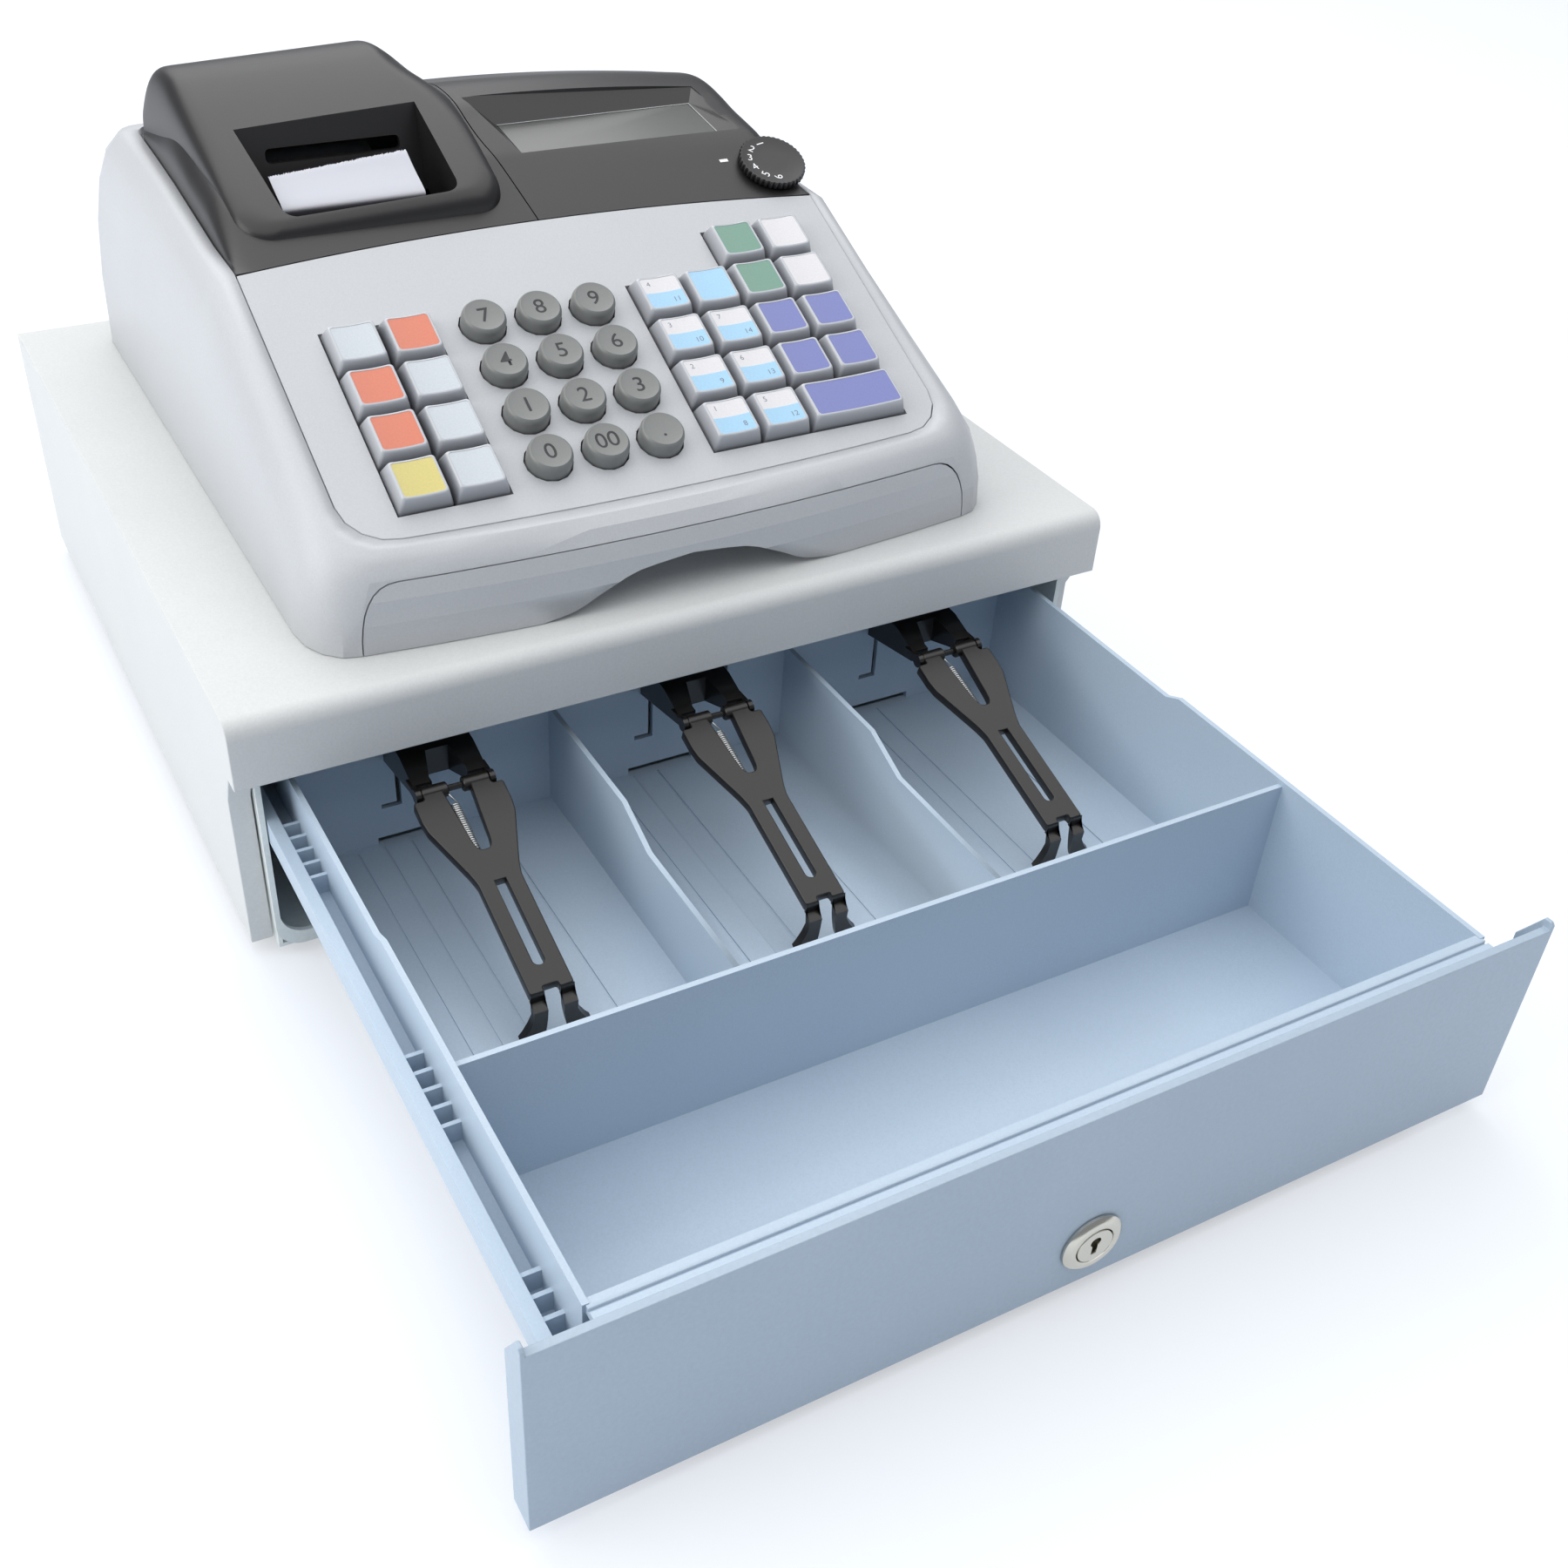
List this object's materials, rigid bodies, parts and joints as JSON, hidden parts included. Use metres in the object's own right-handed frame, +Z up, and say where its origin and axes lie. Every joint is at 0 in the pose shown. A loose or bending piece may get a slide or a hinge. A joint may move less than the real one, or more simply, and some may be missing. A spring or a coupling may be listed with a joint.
{
  "type": "cash register",
  "caption": "Electronic cash register with sloping keyboard, printer hump, slanted display and mode dial, standing on a steel cash drawer with note clips and a lock.",
  "frame": {"origin": "on the ground, under the middle of the object's box with the drawer pulled out", "axes": "+X to the right as the cashier sees it, +Y to the back, +Z up"},
  "size_m": [0.36, 0.5972, 0.25],
  "materials": {
    "cabinet_paint": "fine-textured pale blue-grey powder coat",
    "base_paint": "smooth off-white paint",
    "drawer_paint": "smooth blue-grey paint",
    "tray_plastic": "moulded pale blue-grey plastic",
    "lock_steel": "plated steel",
    "silver_plastic": "fine-textured silver-grey moulded plastic",
    "board_laminate": "green board laminate",
    "dark_plastic": "fine-textured dark warm grey moulded plastic",
    "display_glass": "grey-green liquid crystal display under a clear window",
    "black_plastic": "semi-gloss black moulded plastic",
    "paper": "thermal paper",
    "grey_key": "mid-grey moulded key with a printed digit",
    "pale_key": "clear cap over a pale grey key",
    "orange_key": "clear cap over an orange key",
    "yellow_key": "clear cap over a yellow key",
    "white_key": "clear cap over a white key",
    "green_key": "clear cap over a green key",
    "blue_key": "clear cap over a light blue and white key",
    "indigo_key": "clear cap over an indigo key"
  },
  "bodies": {
    "case": {"cabinet_cover": "cabinet_paint", "cabinet_base": "base_paint", "upper_case": "silver_plastic", "bottom_case": "silver_plastic", "keyboard_panel": "silver_plastic", "display_cover": "dark_plastic", "display_module": "display_glass", "printer_unit": "black_plastic", "circuit_board": "board_laminate"},
    "drawer": {"drawer_front": "drawer_paint", "cash_tray": "tray_plastic", "lock_barrel": "lock_steel", "clip_bracket_left": "black_plastic", "clip_bracket_middle": "black_plastic", "clip_bracket_right": "black_plastic"},
    "plug": {"lock_plug": "lock_steel"},
    "clip_left": {"bill_clip_left": "black_plastic"},
    "clip_middle": {"bill_clip_middle": "black_plastic"},
    "clip_right": {"bill_clip_right": "black_plastic"},
    "dial": {"mode_dial": "dark_plastic"},
    "printer_lid": {"printer_cover": "dark_plastic", "receipt_paper": "paper"},
    "roll": {"paper_roll": "paper"},
    "key_0": {"key_0": "grey_key"},
    "key_00": {"key_00": "grey_key"},
    "key_point": {"key_point": "grey_key"},
    "key_1": {"key_1": "grey_key"},
    "key_2": {"key_2": "grey_key"},
    "key_3": {"key_3": "grey_key"},
    "key_4": {"key_4": "grey_key"},
    "key_5": {"key_5": "grey_key"},
    "key_6": {"key_6": "grey_key"},
    "key_7": {"key_7": "grey_key"},
    "key_8": {"key_8": "grey_key"},
    "key_9": {"key_9": "grey_key"},
    "left_key_1": {"left_key_1": "yellow_key"},
    "left_key_2": {"left_key_2": "pale_key"},
    "left_key_3": {"left_key_3": "orange_key"},
    "left_key_4": {"left_key_4": "pale_key"},
    "left_key_5": {"left_key_5": "orange_key"},
    "left_key_6": {"left_key_6": "pale_key"},
    "left_key_7": {"left_key_7": "pale_key"},
    "left_key_8": {"left_key_8": "orange_key"},
    "right_key_1": {"right_key_1": "blue_key"},
    "right_key_2": {"right_key_2": "blue_key"},
    "right_key_3": {"right_key_3": "blue_key"},
    "right_key_4": {"right_key_4": "blue_key"},
    "right_key_5": {"right_key_5": "indigo_key"},
    "right_key_6": {"right_key_6": "indigo_key"},
    "right_key_7": {"right_key_7": "blue_key"},
    "right_key_8": {"right_key_8": "blue_key"},
    "right_key_9": {"right_key_9": "indigo_key"},
    "right_key_10": {"right_key_10": "indigo_key"},
    "right_key_11": {"right_key_11": "blue_key"},
    "right_key_12": {"right_key_12": "blue_key"},
    "right_key_13": {"right_key_13": "green_key"},
    "right_key_14": {"right_key_14": "white_key"},
    "right_key_15": {"right_key_15": "green_key"},
    "right_key_16": {"right_key_16": "white_key"},
    "wide_key": {"wide_key": "indigo_key"}
  },
  "joints": [
    {"name": "drawer_slide", "type": "slide", "parent": "case", "child": "drawer", "axis": [0, 1, 0], "range_m": [0, 0.2466]},
    {"name": "lock_turn", "type": "hinge", "parent": "drawer", "child": "plug", "pos_m": [0.0044, -0.29605, 0.0252], "axis": [0, 1, 0], "range_deg": [0, 90]},
    {"name": "mode_dial_turn", "type": "hinge", "parent": "case", "child": "dial", "pos_m": [0.1117, 0.1156, 0.21074], "axis": [0, -0.4226, 0.9063], "range_deg": [-90, 90]},
    {"name": "printer_cover_hinge", "type": "hinge", "parent": "case", "child": "printer_lid", "pos_m": [0, 0.24025, 0.2124], "axis": [-1, 0, 0], "range_deg": [0, 45]},
    {"name": "paper_roll_turn", "type": "hinge", "parent": "case", "child": "roll", "pos_m": [0, 0.19855, 0.1878], "axis": [1, 0, 0], "continuous": true},
    {"name": "bill_clip_left_hinge", "type": "hinge", "parent": "drawer", "child": "clip_left", "pos_m": [-0.1053, -0.05785, 0.07], "axis": [-1, 0, 0], "range_deg": [0, 38], "stiffness_Nm_per_rad": 0.15, "springref_deg": -34.38},
    {"name": "bill_clip_middle_hinge", "type": "hinge", "parent": "drawer", "child": "clip_middle", "pos_m": [0, -0.05785, 0.07], "axis": [-1, 0, 0], "range_deg": [0, 38], "stiffness_Nm_per_rad": 0.15, "springref_deg": -34.38},
    {"name": "bill_clip_right_hinge", "type": "hinge", "parent": "drawer", "child": "clip_right", "pos_m": [0.1053, -0.05785, 0.07], "axis": [-1, 0, 0], "range_deg": [0, 38], "stiffness_Nm_per_rad": 0.15, "springref_deg": -34.38},
    {"name": "key_0_press", "type": "slide", "parent": "case", "child": "key_0", "axis": [0, 0.4226, -0.9063], "range_m": [0, 0.003], "stiffness_N_per_m": 200, "springref_m": -0.001},
    {"name": "key_00_press", "type": "slide", "parent": "case", "child": "key_00", "axis": [0, 0.4226, -0.9063], "range_m": [0, 0.003], "stiffness_N_per_m": 200, "springref_m": -0.001},
    {"name": "key_point_press", "type": "slide", "parent": "case", "child": "key_point", "axis": [0, 0.4226, -0.9063], "range_m": [0, 0.003], "stiffness_N_per_m": 200, "springref_m": -0.001},
    {"name": "key_1_press", "type": "slide", "parent": "case", "child": "key_1", "axis": [0, 0.4226, -0.9063], "range_m": [0, 0.003], "stiffness_N_per_m": 200, "springref_m": -0.001},
    {"name": "key_2_press", "type": "slide", "parent": "case", "child": "key_2", "axis": [0, 0.4226, -0.9063], "range_m": [0, 0.003], "stiffness_N_per_m": 200, "springref_m": -0.001},
    {"name": "key_3_press", "type": "slide", "parent": "case", "child": "key_3", "axis": [0, 0.4226, -0.9063], "range_m": [0, 0.003], "stiffness_N_per_m": 200, "springref_m": -0.001},
    {"name": "key_4_press", "type": "slide", "parent": "case", "child": "key_4", "axis": [0, 0.4226, -0.9063], "range_m": [0, 0.003], "stiffness_N_per_m": 200, "springref_m": -0.001},
    {"name": "key_5_press", "type": "slide", "parent": "case", "child": "key_5", "axis": [0, 0.4226, -0.9063], "range_m": [0, 0.003], "stiffness_N_per_m": 200, "springref_m": -0.001},
    {"name": "key_6_press", "type": "slide", "parent": "case", "child": "key_6", "axis": [0, 0.4226, -0.9063], "range_m": [0, 0.003], "stiffness_N_per_m": 200, "springref_m": -0.001},
    {"name": "key_7_press", "type": "slide", "parent": "case", "child": "key_7", "axis": [0, 0.4226, -0.9063], "range_m": [0, 0.003], "stiffness_N_per_m": 200, "springref_m": -0.001},
    {"name": "key_8_press", "type": "slide", "parent": "case", "child": "key_8", "axis": [0, 0.4226, -0.9063], "range_m": [0, 0.003], "stiffness_N_per_m": 200, "springref_m": -0.001},
    {"name": "key_9_press", "type": "slide", "parent": "case", "child": "key_9", "axis": [0, 0.4226, -0.9063], "range_m": [0, 0.003], "stiffness_N_per_m": 200, "springref_m": -0.001},
    {"name": "left_key_1_press", "type": "slide", "parent": "case", "child": "left_key_1", "axis": [0, 0.4226, -0.9063], "range_m": [0, 0.003], "stiffness_N_per_m": 200, "springref_m": -0.001},
    {"name": "left_key_2_press", "type": "slide", "parent": "case", "child": "left_key_2", "axis": [0, 0.4226, -0.9063], "range_m": [0, 0.003], "stiffness_N_per_m": 200, "springref_m": -0.001},
    {"name": "left_key_3_press", "type": "slide", "parent": "case", "child": "left_key_3", "axis": [0, 0.4226, -0.9063], "range_m": [0, 0.003], "stiffness_N_per_m": 200, "springref_m": -0.001},
    {"name": "left_key_4_press", "type": "slide", "parent": "case", "child": "left_key_4", "axis": [0, 0.4226, -0.9063], "range_m": [0, 0.003], "stiffness_N_per_m": 200, "springref_m": -0.001},
    {"name": "left_key_5_press", "type": "slide", "parent": "case", "child": "left_key_5", "axis": [0, 0.4226, -0.9063], "range_m": [0, 0.003], "stiffness_N_per_m": 200, "springref_m": -0.001},
    {"name": "left_key_6_press", "type": "slide", "parent": "case", "child": "left_key_6", "axis": [0, 0.4226, -0.9063], "range_m": [0, 0.003], "stiffness_N_per_m": 200, "springref_m": -0.001},
    {"name": "left_key_7_press", "type": "slide", "parent": "case", "child": "left_key_7", "axis": [0, 0.4226, -0.9063], "range_m": [0, 0.003], "stiffness_N_per_m": 200, "springref_m": -0.001},
    {"name": "left_key_8_press", "type": "slide", "parent": "case", "child": "left_key_8", "axis": [0, 0.4226, -0.9063], "range_m": [0, 0.003], "stiffness_N_per_m": 200, "springref_m": -0.001},
    {"name": "right_key_1_press", "type": "slide", "parent": "case", "child": "right_key_1", "axis": [0, 0.4226, -0.9063], "range_m": [0, 0.003], "stiffness_N_per_m": 200, "springref_m": -0.001},
    {"name": "right_key_2_press", "type": "slide", "parent": "case", "child": "right_key_2", "axis": [0, 0.4226, -0.9063], "range_m": [0, 0.003], "stiffness_N_per_m": 200, "springref_m": -0.001},
    {"name": "right_key_3_press", "type": "slide", "parent": "case", "child": "right_key_3", "axis": [0, 0.4226, -0.9063], "range_m": [0, 0.003], "stiffness_N_per_m": 200, "springref_m": -0.001},
    {"name": "right_key_4_press", "type": "slide", "parent": "case", "child": "right_key_4", "axis": [0, 0.4226, -0.9063], "range_m": [0, 0.003], "stiffness_N_per_m": 200, "springref_m": -0.001},
    {"name": "right_key_5_press", "type": "slide", "parent": "case", "child": "right_key_5", "axis": [0, 0.4226, -0.9063], "range_m": [0, 0.003], "stiffness_N_per_m": 200, "springref_m": -0.001},
    {"name": "right_key_6_press", "type": "slide", "parent": "case", "child": "right_key_6", "axis": [0, 0.4226, -0.9063], "range_m": [0, 0.003], "stiffness_N_per_m": 200, "springref_m": -0.001},
    {"name": "right_key_7_press", "type": "slide", "parent": "case", "child": "right_key_7", "axis": [0, 0.4226, -0.9063], "range_m": [0, 0.003], "stiffness_N_per_m": 200, "springref_m": -0.001},
    {"name": "right_key_8_press", "type": "slide", "parent": "case", "child": "right_key_8", "axis": [0, 0.4226, -0.9063], "range_m": [0, 0.003], "stiffness_N_per_m": 200, "springref_m": -0.001},
    {"name": "right_key_9_press", "type": "slide", "parent": "case", "child": "right_key_9", "axis": [0, 0.4226, -0.9063], "range_m": [0, 0.003], "stiffness_N_per_m": 200, "springref_m": -0.001},
    {"name": "right_key_10_press", "type": "slide", "parent": "case", "child": "right_key_10", "axis": [0, 0.4226, -0.9063], "range_m": [0, 0.003], "stiffness_N_per_m": 200, "springref_m": -0.001},
    {"name": "right_key_11_press", "type": "slide", "parent": "case", "child": "right_key_11", "axis": [0, 0.4226, -0.9063], "range_m": [0, 0.003], "stiffness_N_per_m": 200, "springref_m": -0.001},
    {"name": "right_key_12_press", "type": "slide", "parent": "case", "child": "right_key_12", "axis": [0, 0.4226, -0.9063], "range_m": [0, 0.003], "stiffness_N_per_m": 200, "springref_m": -0.001},
    {"name": "right_key_13_press", "type": "slide", "parent": "case", "child": "right_key_13", "axis": [0, 0.4226, -0.9063], "range_m": [0, 0.003], "stiffness_N_per_m": 200, "springref_m": -0.001},
    {"name": "right_key_14_press", "type": "slide", "parent": "case", "child": "right_key_14", "axis": [0, 0.4226, -0.9063], "range_m": [0, 0.003], "stiffness_N_per_m": 200, "springref_m": -0.001},
    {"name": "right_key_15_press", "type": "slide", "parent": "case", "child": "right_key_15", "axis": [0, 0.4226, -0.9063], "range_m": [0, 0.003], "stiffness_N_per_m": 200, "springref_m": -0.001},
    {"name": "right_key_16_press", "type": "slide", "parent": "case", "child": "right_key_16", "axis": [0, 0.4226, -0.9063], "range_m": [0, 0.003], "stiffness_N_per_m": 200, "springref_m": -0.001},
    {"name": "wide_key_press", "type": "slide", "parent": "case", "child": "wide_key", "axis": [0, 0.4226, -0.9063], "range_m": [0, 0.003], "stiffness_N_per_m": 200, "springref_m": -0.001}
  ]
}
